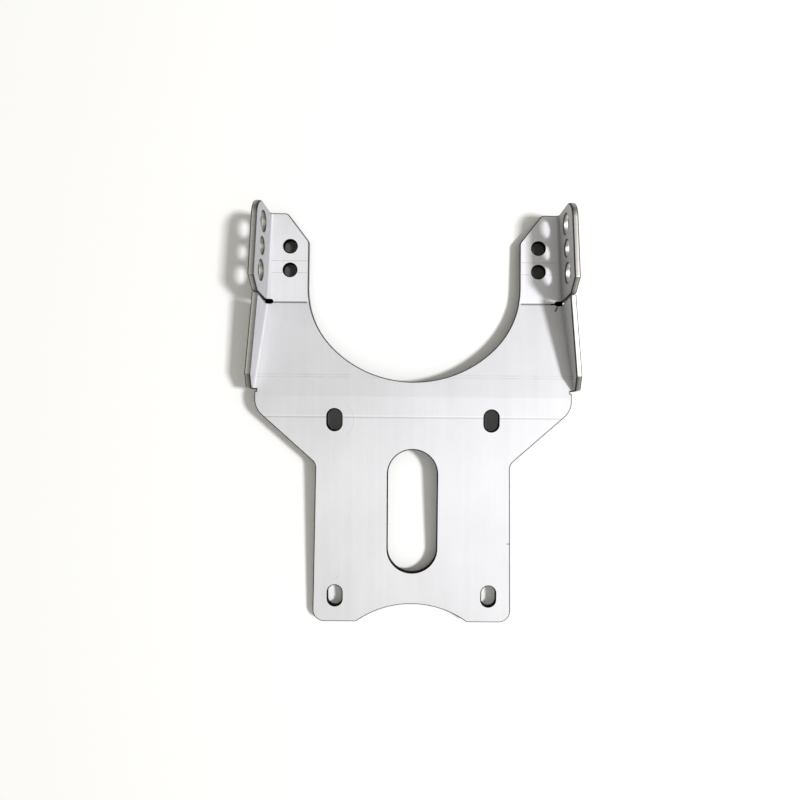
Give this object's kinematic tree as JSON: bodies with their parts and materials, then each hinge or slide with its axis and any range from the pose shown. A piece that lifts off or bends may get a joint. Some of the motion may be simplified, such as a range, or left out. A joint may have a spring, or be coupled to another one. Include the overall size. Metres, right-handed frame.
{
  "type": "auxiliary light bracket",
  "caption": "Folded stainless sheet bracket with a slotted mounting plate and a pair of flanged arms that hold auxiliary lamps either side of a round gap.",
  "frame": {"origin": "middle of the four slots, on the back of the mounting plate", "axes": "+X runs from the foot edge to the tabs, +Y across to the left lamp flange, +Z is square to the mounting plate, the way the flanges point"},
  "size_m": [0.2144, 0.1692, 0.0317],
  "materials": {
    "sheet": "fine vertical grain, deburred laser-cut edges, faint die marks beside the folds"
  },
  "bodies": {
    "root": {"bracket": "sheet"}
  },
  "joints": []
}
